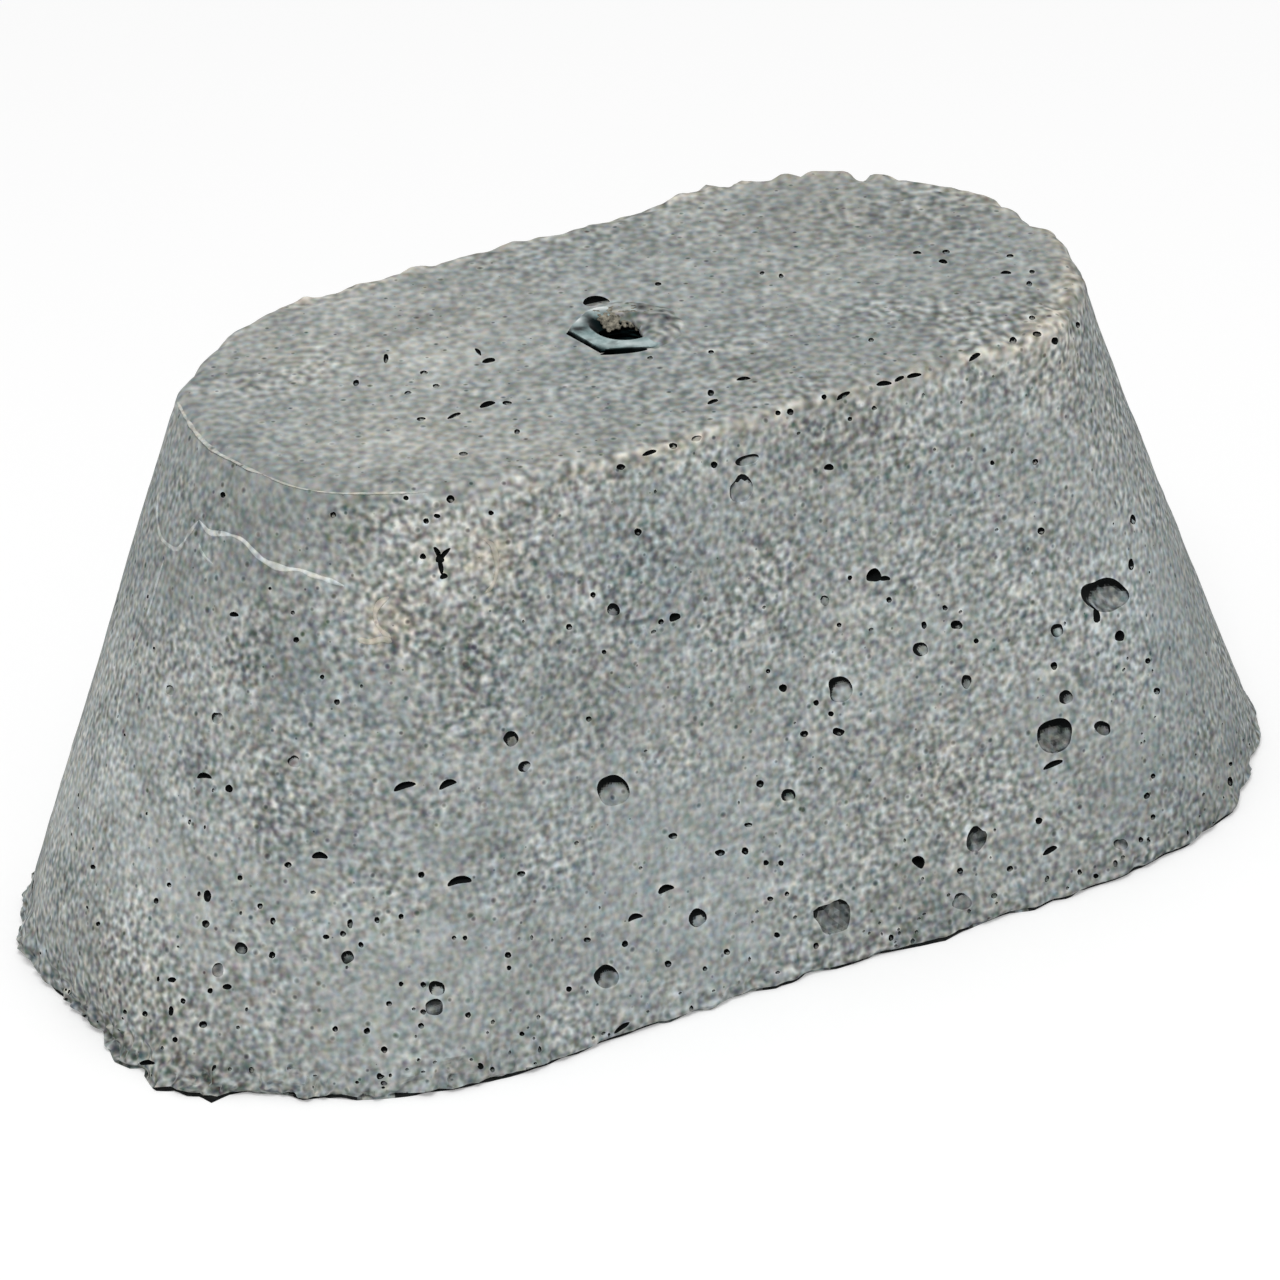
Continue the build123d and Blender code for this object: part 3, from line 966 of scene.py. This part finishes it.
def sand_mortar_material():
    """Mortar of sharp sand, dried as it fell: matt beige grains with dark gaps between them."""
    material, tree, surface = blank_material("sand_mortar")
    place = add_node(tree, "ShaderNodeTexCoord", output="Object")
    sand = add_node(tree, "ShaderNodeTexNoise", {
        "Vector": place, "Scale": per_metre(mortar_sand), "Detail": 3.0, "Roughness": 0.65,
    })
    light = add_node(tree, "ShaderNodeMapRange", {"Value": sand, "From Min": 0.3, "From Max": 0.7})
    colour = add_node(tree, "ShaderNodeMix", {
        "Factor": light, 6: linear(mortar_gap_colour), 7: linear(mortar_grain_colour),
    }, output=2, data_type="RGBA")
    tree.links.new(colour, surface.inputs["Base Color"])
    bump = add_node(tree, "ShaderNodeBump", {
        "Height": sand, "Strength": 0.4, "Distance": mortar_bump * MM,
    })
    tree.links.new(bump, surface.inputs["Normal"])
    surface.inputs["Roughness"].default_value = cement_roughness
    surface.inputs["Specular IOR Level"].default_value = cement_specular
    return material


# Zinc: width of its blotches in mm, and its colours where it is dull or bright, where a highlight is painted
# white on it, and the near black of its dirt and of the shade painted on it
zinc_blotch = 3.0
dull_zinc = "#6F8788"
bright_zinc = "#A6B9B9"
painted_zinc_highlight = "#F4F7F6"
nut_dirt_and_shade = "#0C1718"


def zinc_plated_steel_material():
    """Zinc-plated steel, dulled by wet cement: a bluish metal with a soft shine and dull blotches."""
    material, tree, surface = blank_material("zinc_plated_steel")
    place = add_node(tree, "ShaderNodeTexCoord", output="Object")
    blotch = add_node(tree, "ShaderNodeTexNoise", {
        "Vector": place, "Scale": per_metre(zinc_blotch), "Detail": 4.0, "Roughness": 0.6,
    })
    bright = add_node(tree, "ShaderNodeMapRange", {"Value": blotch, "From Min": 0.35, "From Max": 0.65})
    colour = add_node(tree, "ShaderNodeMix", {
        "Factor": bright, 6: linear(dull_zinc), 7: linear(bright_zinc),
    }, output=2, data_type="RGBA")
    # The nut's marks: painted highlights in white, and painted shade with some dirt in near black
    for mark, mark_colour in (("painted_highlight", painted_zinc_highlight), ("grime_and_shade", nut_dirt_and_shade)):
        share = add_node(tree, "ShaderNodeAttribute", output="Fac", attribute_name=mark)
        colour = add_node(tree, "ShaderNodeMix", {
            "Factor": share, 6: colour, 7: linear(mark_colour),
        }, output=2, data_type="RGBA")
    tree.links.new(colour, surface.inputs["Base Color"])
    roughness = add_node(tree, "ShaderNodeMapRange", {"Value": bright, "To Min": 0.5, "To Max": 0.3})
    tree.links.new(roughness, surface.inputs["Roughness"])
    surface.inputs["Metallic"].default_value = 1.0
    return material


concrete = cast_concrete_material()
mortar = sand_mortar_material()
zinc = zinc_plated_steel_material()

# Widths in mm of the marks on the casting
warm_edge_width = 4.0
pale_ridge_width = 1.8
small_cloud = 4.0
large_cloud = 9.0
# Height of the painted shade at the foot, and width of its blotches
shaded_foot_height = 5.0
foot_shade_blotch = 2.2

# The casting
patch_centres = seen_at(
    [patch[:2] for patch in skin_patches], surface_of(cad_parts["concrete_block"])
)
balls = {fineness: ball(fineness) for fineness in (1, 2, 3, 4)}
block = cast_block()
skin = surface_of(block)

# The nut sits a little askew in the casting: off centre, turned and leaning
level_back = np.cross([0, 0, 1], level_right)
nut_top = block_height + nut_stands_proud
nut_off_centre = -nut_shift * level_right
nut_middle = nut_off_centre + np.array([0, 0, nut_top])
nut_tilt = Matrix.Rotation(nut_lean, 3, Vector(level_back)) @ Matrix.Rotation(nut_turn, 3, "Z")
nut_rotation = np.array(nut_tilt)
nut_apothem = nut_across_flats / 2
nut_columns = 96
nut_facing = np.arange(nut_columns) / nut_columns * 2 * pi
rows_per_thread = 6


def nut_place(points):
    """Points of the nut, drawn standing under the origin, put where it was cast in."""
    return points @ nut_rotation.T + nut_middle


def hexagon_reach(apothem):
    """Distance from the nut's axis to its flats at each column; its corners are at 30 degrees."""
    off_flat = (nut_facing + pi / 6) % (pi / 3) - pi / 6
    return apothem / np.cos(off_flat)


def nut_cavity(clearance=0.3, below=0.2, above=3.0):
    """The space that the nut leaves in the concrete."""
    reach = hexagon_reach(nut_apothem + clearance)
    ring = np.stack([reach * np.cos(nut_facing), reach * np.sin(nut_facing), np.zeros(nut_columns)], -1)
    low = ring - [0, 0, nut_length + below]
    high = ring + [0, 0, above]
    points = np.concatenate([low, high, [[0, 0, -nut_length - below], [0, 0, above]]])
    faces = []
    for here in range(nut_columns):
        beside = (here + 1) % nut_columns
        faces.append((here, beside, nut_columns + beside))
        faces.append((here, nut_columns + beside, nut_columns + here))
        faces.append((beside, here, 2 * nut_columns))
        faces.append((nut_columns + here, nut_columns + beside, 2 * nut_columns + 1))
    return nut_place(points), np.array(faces), np.ones(len(faces))


def hex_nut():
    """The long nut: hexagon with turned corners, countersunk mouths and an M10 thread cut as a helix."""
    end_reach = nut_apothem / cos(pi / 6) - nut_corner_chamfer
    flats = hexagon_reach(nut_apothem)
    chamfer_steps = [0.0, 0.15, 0.3, 0.45]
    side_depths = [nut_length - step for step in chamfer_steps] + [nut_length / 2, 4.0] + chamfer_steps[::-1]
    rows = []
    for depth in side_depths:
        from_end = min(depth, nut_length - depth)
        rows.append((np.minimum(flats, end_reach + from_end * nut_chamfer_slope), -depth))
    from_wear = (nut_facing - worn_direction + pi) % (2 * pi) - pi
    mouth = thread_mouth_radius + worn_reach * np.exp(-((from_wear / worn_spread) ** 2))
    lip = mouth + 0.15
    for share in (0.85, 0.7, 0.5, 0.25, 0.0):
        rows.append((lip + share * (np.minimum(flats, end_reach) - lip), 0.0))
    for depth in np.linspace(0.1, nut_length - 0.1, int(nut_length / thread_pitch * rows_per_thread)):
        # A flat crest and a flat root, each a quarter of the pitch, and straight flanks between them
        turn_share = (depth / thread_pitch + nut_facing / (2 * pi)) % 1
        ridge = np.clip(1.5 - np.abs(turn_share - 0.5) * 4, 0, 1)
        bore = thread_outer_radius - ridge * (thread_outer_radius - thread_inner_radius)
        bore = np.maximum(bore, mouth - min(depth, nut_length - depth))
        rows.append((bore, -depth))
    rows.append((lip, -nut_length))
    points = np.array([
        np.stack([reach * np.cos(nut_facing), reach * np.sin(nut_facing), np.full(nut_columns, level)], -1)
        for reach, level in rows
    ])
    faces = grid_faces(len(rows), nut_columns, rows_close=True)
    return new_piece("hex_nut_threaded", nut_place(points.reshape(-1, 3)), faces, zinc)


# Air voids: those that the photograph shows, then strays where it shows nothing
voids = [nut_cavity()]
for cup in cups:
    cover = small_cup_cover if cup[2] < small_cup_width else 0.0
    voids.append(read_void(skin, *cup, cover=cover, **cup_cut))
for kind, cut in ((dishes, dish_cut), (pockets, pocket_cut), (slits, slit_cut), (arches, arch_cut)):
    voids += [read_void(skin, *read, **cut) for read in kind]
for small in small_voids:
    cover, gloom = draw.uniform([0.25, 0.1], [0.9, 0.7])
    voids.append(read_void(skin, *small, cover=cover, gloom=gloom, **small_void_cut))

face_middles = np.array([face.center for face in block.data.polygons]) / MM
face_normals = np.array([face.normal for face in block.data.polygons])
face_levels = face_middles[:, 2]
wall = (face_levels > 4) & (face_levels < 99)
seen = face_normals @ camera_back > 0.12
unseen_wall = wall & ~seen
low_front = wall & seen & (face_levels < draw.uniform(5, 110, len(wall)))
foot_band = seen & (face_levels > 1.4) & (face_levels < draw.uniform(2, 8, len(wall)))
# Strays: how many, their smallest and largest width in mm, and the faces that they may lie on. Small ones
# outnumber large ones by a power of their width.
stray_power = 1.5
strays = [
    (60, 0.6, 1.2, foot_band),
    (100, 0.6, 1.0, low_front),
    (26, 2.0, 5.0, unseen_wall),
    (70, 1.0, 2.0, unseen_wall),
    (120, 0.6, 1.1, unseen_wall),
]
for count, smallest, largest, where in strays:
    shares = draw.uniform(largest ** -stray_power, smallest ** -stray_power, count)
    for size in shares ** (-1 / stray_power):
        voids.append(stray_void(face_middles[where], face_normals[where], size))

# Painted shade: the underside of the foot's lip is painted near black, apart from where the lip is broken
# away
under_lip_shade = np.zeros(len(face_middles))
lip_faces = np.arange((len(under_foot) - 1) * column_count)
lip_places = face_middles[lip_faces] * [1, 1, 0]
whole_lip = lumps(lip_places, 7.0, 13) + 0.5 * lumps(lip_places, 3.0, 14)
under_lip_shade[lip_faces] = 0.97 * smooth_step(whole_lip, -0.75, -0.25)
mark_faces(block.data, "painted_shade", under_lip_shade)
cut_away(block, voids)

# Marks for the material: the photograph's patches, some of them painted light, clouds on the left, the pale
# crumbled edge, painted shade darkening the foot, and the voids' pale rims
block.data.shade_smooth()
block.data.set_sharp_from_angle(angle=radians(48))
block_points = mesh_points(block.data)
marks = patch_marks(block_points)
top = on_top(block_points)
edge = top_edge_nearness(block_points, warm_edge_width) * crumbly_share(block_points)
ridge = top_edge_nearness(block_points, pale_ridge_width) * crumbly_share(block_points)
cloudy_end = smooth_step(-block_points[:, 0], 15, 60)
clouds = cloudy_end * (lumps(block_points, small_cloud, 17) + lumps(block_points, large_cloud, 18))
# Painted shade: the skin darkens in uneven blotches towards the foot, where less light reaches
foot_shade = foot_nearness(block_points, shaded_foot_height) * (1 + 0.9 * lumps(block_points, foot_shade_blotch, 16))
mark_points(
    block.data, "pale", marks[:, 0] + 0.42 * clouds + 0.7 * ridge - 0.65 * foot_shade + void_rims(block.data)
)
mark_points(block.data, "warm", 0.5 * marks[:, 1] + 0.15 * edge + 0.2 * ridge)
mark_points(block.data, "sandy", sandiness(block_points) - 0.25 * top)
mark_points(block.data, "streak", top * lumps(block_points * drag_stretch, drag_width, 10))
mark_points(block.data, "top", top)
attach(block, "root")
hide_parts("concrete_block")

# Spots on the nut's top: strength, place to the right of and behind its axis, width and depth in mm. The
# highlight spots are painted highlights where the zinc catches the light; of the dark spots, the first is
# painted shade at the inner left of the bore's mouth and the second darkens the top by the left corner.
highlight_spots = [(1.0, -5.2, 7.9, 3.0, 1.4), (0.8, -8.2, 2.9, 1.1, 1.3), (0.3, 1.2, -7.0, 3.4, 1.0)]
dark_spots = [(0.95, -6.2, 2.2, 1.3, 2.2), (1.2, -8.0, -0.8, 1.5, 1.1)]
nut = hex_nut()
nut_points = mesh_points(nut.data) - nut_middle
below_face = -(nut_points @ nut_rotation)[:, 2]
to_right = nut_points @ level_right
to_back = nut_points @ level_back


def nut_spots(spots):
    """How strong some spots are at each point of the nut; each fades over its width and depth."""
    return sum(
        strength * np.exp(-(((to_right - right) / width) ** 2) - ((to_back - back) / depth) ** 2)
        for strength, right, back, width, depth in spots
    )


painted_highlight = np.minimum(nut_spots(highlight_spots), 1)
# Painted shade: near black on the nut's sides below its top face, at the dark spots and down its bore;
# blotches of dirt on top of that
grime_and_shade = nut_spots(dark_spots) + 0.9 * smooth_step(below_face, 0.05, 0.3)
grime_and_shade += 0.5 * smooth_step(lumps(nut_points, 1.6, 45), 0.0, 0.6)
in_bore = np.hypot(to_right, to_back) < 7
grime_and_shade += in_bore * smooth_step(below_face, 0.2, 1.0)
mark_points(nut.data, "grime_and_shade", np.minimum(grime_and_shade, 1) * (1 - 0.8 * painted_highlight))
mark_points(nut.data, "painted_highlight", painted_highlight)
nut.data.shade_smooth()
nut.data.set_sharp_from_angle(angle=radians(25))
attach(nut, "root")
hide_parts("hex_nut")


def curve_through(pixels, step=3.0):
    """Pixels along a smooth line through some pixels, evenly spaced."""
    read = np.array(pixels, float)
    padded = np.concatenate([2 * read[:1] - read[1:2], read, 2 * read[-1:] - read[-2:-1]])
    line = []
    for before, here, after, later in zip(padded, padded[1:], padded[2:], padded[3:]):
        count = max(int(np.hypot(*(after - here)) / step), 1)
        for share in np.arange(count) / count:
            line.append(0.5 * (
                2 * here + (after - before) * share
                + (2 * before - 5 * here + 4 * after - later) * share ** 2
                + (3 * here - before - 3 * after + later) * share ** 3
            ))
    return np.array(line + [read[-1]])


# A seam's section: its sides, the width of its lumps in mm and its height as a share of its half width
seam_sides = 8
seam_lump = 2.0
seam_height = 0.4


def liner_seams():
    """Fins of cement paste that ran into the folds of the mould's liner, lying on the skin."""
    around = np.arange(seam_sides) / seam_sides * 2 * pi
    points, faces, tones = [], [], []
    for width, paler, warmer, pixels in liner_seams_read:
        line = seen_at(curve_through(pixels), skin)
        lift = on_top(line)[:, None]
        normals = wall_normals(line) * (1 - lift) + lift * np.array([0, 0, 1])
        normals /= np.linalg.norm(normals, axis=1)[:, None]
        along_line = np.gradient(line, axis=0)
        along_line /= np.linalg.norm(along_line, axis=1)[:, None]
        beside = np.cross(normals, along_line)
        share = np.linspace(0, 1, len(line))
        taper = np.minimum(1, 8 * np.minimum(share, 1 - share) + 0.25)
        half = width / 2 * (0.72 + 0.5 * lumps(line, seam_lump, 31)) * taper
        start = len(points)
        tones += [(paler, warmer)] * (seam_sides * len(line))
        for middle, normal, aside, reach in zip(line, normals, beside, half):
            for angle in around:
                points.append(middle + aside * reach * cos(angle) + normal * reach * seam_height * sin(angle))
        faces += [tuple(corner + start for corner in face) for face in grid_faces(len(line), seam_sides)]
        faces.append(tuple(range(start + seam_sides - 1, start - 1, -1)))
        faces.append(tuple(range(len(points) - seam_sides, len(points))))
    return new_piece("liner_seams", points, faces, concrete), np.array(tones)


seams, seam_tones = liner_seams()
seams.data.shade_smooth()
mark_points(seams.data, "pale", seam_tones[:, 0])
mark_points(seams.data, "warm", seam_tones[:, 1])
mark_points(seams.data, "sandy", np.full(len(seam_tones), 0.1))
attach(seams, "root")

# The mortar on the nut: where it starts and ends, counted from the photograph's right, and its rings, by
# distance from the nut's axis and, where they are in the bore, by depth, in mm
skim_start = radians(-65)
skim_end = radians(122)
skim_reach = [13.0, 12.2, 11.5, 10.8, 10.1, 9.4, 8.7, 8.0, 7.3, 6.6, 5.9, 5.3, 4.9, 4.7, 4.6, 4.7]
skim_depth = [0.0] * 12 + [0.1, 0.4, 0.8, 1.2]
skim_columns = 64
skim_overhang = 1.6
skim_overhang_turn = radians(15)


def mortar_skim():
    """Mortar that ran over the right side of the nut and down its bore, feathered onto the concrete."""
    turns = np.linspace(skim_start, skim_end, skim_columns)[:, None]
    reach = np.array(skim_reach)[None]
    depth = np.array(skim_depth)[None]
    flat = np.cos(turns)[..., None] * level_right + np.sin(turns)[..., None] * level_back
    sector = smooth_step(turns, skim_start, skim_start + 0.5)
    sector = sector * (1 - smooth_step(turns, skim_end - 0.45, skim_end))
    spots = flat * reach[..., None]
    lump = 0.5 * lumps(spots, 2.4, 41) + 0.3 * lumps(spots, 1.2, 42)
    fade = sector * (1 - smooth_step(reach + 1.2 * lumps(spots, 3.0, 43), 8.8, 11.8))
    in_bore = (depth > 0).astype(float)
    lean_drop = reach * np.cos(turns) * sin(nut_lean)
    nut_face = nut_stands_proud - np.where(reach < 9.6, lean_drop, nut_stands_proud)
    rise = np.maximum(nut_face, 0) + fade * (0.28 + 0.3 * lump) - 0.35 * (1 - fade)
    overhang = skim_overhang * smooth_step(np.cos(turns - skim_overhang_turn), 0.5, 1.0)
    narrowed = reach - in_bore * sector * (0.35 + 0.5 * lump + overhang) + in_bore * (1 - sector) * 0.6
    front = flat * narrowed[..., None] + nut_off_centre
    front[..., 2] = block_height + np.where(in_bore > 0, 0.25 * sector - depth, rise)
    back = front + flat * (in_bore * 0.9)[..., None]
    back[..., 2] = front[..., 2] - np.where(in_bore > 0, 0.3, 1.1)
    rows, columns = front.shape[:2]
    behind = rows * columns
    points = np.concatenate([front.reshape(-1, 3), back.reshape(-1, 3)])
    faces = []
    for row in range(rows - 1):
        for column in range(columns - 1):
            corner = row * columns + column
            quad = (corner, corner + columns, corner + columns + 1, corner + 1)
            faces.append(quad)
            faces.append(tuple(behind + index for index in reversed(quad)))
    rim = list(range(columns))
    rim += [row * columns + columns - 1 for row in range(1, rows)]
    rim += [(rows - 1) * columns + column for column in range(columns - 2, -1, -1)]
    rim += [row * columns for row in range(rows - 2, 0, -1)]
    for here, beside in zip(rim, rim[1:] + rim[:1]):
        faces.append((here, beside, behind + beside, behind + here))
    return new_piece("mortar_skim", points, faces, concrete)


# Crumbs on the nut and in its bore, in mm, and the turns in degrees that they lie between
bore_crumb_count = 260
bore_crumb_sizes = (0.2, 0.52)
bore_crumb_reach = (3.8, 8.4)
bore_crumb_turns = (52, 140)
bore_crumb_flatness = np.array([1, 1, 0.8])
bore_crumb_lift = 0.35
bore_crumb_slope = 1.2
bore_crumb_voxel = 0.16


def bore_crumbs():
    """Sandy crumbs of mortar stuck to the far side of the nut's top and of its bore."""
    points, faces = balls[2]
    all_points, all_faces = [], []
    for crumb in range(bore_crumb_count):
        turned = radians(draw.uniform(*bore_crumb_turns))
        size = draw.uniform(*bore_crumb_sizes)
        reach = draw.uniform(*bore_crumb_reach)
        middle = (cos(turned) * level_right + sin(turned) * level_back) * reach + nut_off_centre
        down_bore = max(thread_mouth_radius - reach, 0) * bore_crumb_slope
        middle[2] = block_height + bore_crumb_lift - down_bore
        uneven = 1 + 0.25 * lumps(points + 7.3 * crumb, 0.9, 44)
        all_faces += [tuple(map(int, face + len(all_points) * len(points))) for face in faces]
        all_points.append(points * uneven[:, None] * size * bore_crumb_flatness + middle)
    piece = new_piece("bore_crumbs", np.concatenate(all_points), all_faces, mortar)
    joined = piece.modifiers.new("joined", "REMESH")
    joined.mode = "VOXEL"
    joined.voxel_size = bore_crumb_voxel * MM
    keep_result(piece)
    return piece


# Painted shade for the dark gaps in the mortar over the nut's back edge, read from the photograph: pixel
# and radius in pixels
mortar_gaps = [(617, 302, 5), (627, 312, 4), (641, 308, 6), (662, 311, 4), (668, 318, 4), (633, 303, 4)]
skim = mortar_skim()
skim_points = mesh_points(skim.data)
gap_middles = at_level([gap[:2] for gap in mortar_gaps], nut_top)
gap_shade = np.zeros(len(skim_points))
for middle, gap in zip(gap_middles, mortar_gaps):
    away = np.linalg.norm((skim_points - middle) * [1, 1, 0], axis=1) / (gap[2] * mm_per_pixel)
    gap_shade = np.maximum(gap_shade, 0.9 * np.exp(-away * away))
mark_points(skim.data, "shade", gap_shade)
for mark, level in (("pale", -0.55), ("warm", 0.05), ("sandy", 0.6), ("top", 1.0)):
    mark_points(skim.data, mark, np.full(len(skim_points), level))
for crust in (skim, bore_crumbs()):
    crust.data.shade_smooth()
    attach(crust, "root")

# Floor, light and camera. The camera and reflections see a floor and a world that are near white, and the
# light that these give is less.
scene = bpy.context.scene
scene.view_settings.view_transform = "Standard"
floor_half = 3000.0
floor_drop = 0.05
floor_colour = "#E4E4E4"
floor_lift = 0.28
world_light = 0.58
lamp_watts = 25
lamp_width = 0.9
lamp_distance = 2.2
lamp_direction = Vector((-0.30, -0.50, 0.81))
lamp_aim = Vector((0, 0, 0.05))


def shown_directly(tree):
    """1 where the camera, a reflection or glass shows a surface, 0 where it only gives light."""
    camera_ray = add_node(tree, "ShaderNodeLightPath", output="Is Camera Ray")
    rays = camera_ray.node.outputs
    shown = add_node(tree, "ShaderNodeMath", {0: camera_ray, 1: rays["Is Glossy Ray"]}, operation="MAXIMUM")
    return add_node(tree, "ShaderNodeMath", {
        0: shown, 1: rays["Is Transmission Ray"],
    }, operation="MAXIMUM")


paper, tree, surface = blank_material("white_paper")
surface.inputs["Base Color"].default_value = linear(floor_colour)
surface.inputs["Roughness"].default_value = 1.0
surface.inputs["Specular IOR Level"].default_value = 0.0
surface.inputs["Emission Color"].default_value = (1, 1, 1, 1)
lift = add_node(tree, "ShaderNodeMath", {0: shown_directly(tree), 1: floor_lift}, operation="MULTIPLY")
tree.links.new(lift, surface.inputs["Emission Strength"])
corners = [(-1, -1), (1, -1), (1, 1), (-1, 1)]
floor_points = [(x * floor_half, y * floor_half, -floor_drop) for x, y in corners]
floor = new_piece("paper_floor", floor_points, [(0, 1, 2, 3)], paper)

studio = bpy.data.worlds.new("studio")
studio.use_nodes = True
tree = studio.node_tree
strength = add_node(tree, "ShaderNodeMapRange", {
    "Value": shown_directly(tree), "To Min": world_light, "To Max": 1.0,
})
background = tree.nodes["Background"]
background.inputs["Color"].default_value = (1, 1, 1, 1)
tree.links.new(strength, background.inputs["Strength"])
scene.world = studio

lamp = bpy.data.lights.new("soft_key", "AREA")
lamp.shape = "DISK"
lamp.size = lamp_width
lamp.energy = lamp_watts
key = bpy.data.objects.new("soft_key", lamp)
key.location = lamp_direction * lamp_distance
key.rotation_euler = (lamp_aim - key.location).to_track_quat("-Z", "Y").to_euler()
scene.collection.objects.link(key)

view = bpy.data.cameras.new("photo_camera")
view.sensor_width = 36.0
view.lens = photo_focal / photo_side * view.sensor_width
view.clip_end = 20.0
camera = bpy.data.objects.new("photo_camera", view)
forward = sight_lines([(photo_side / 2, photo_side / 2)])[0]
side = np.cross(forward, camera_up)
side /= np.linalg.norm(side)
upright = np.cross(side, forward)
camera_turn = Matrix((side, upright, -forward)).transposed().to_4x4()
camera.matrix_world = Matrix.Translation(Vector(camera_eye * MM)) @ camera_turn
scene.collection.objects.link(camera)
scene.camera = camera
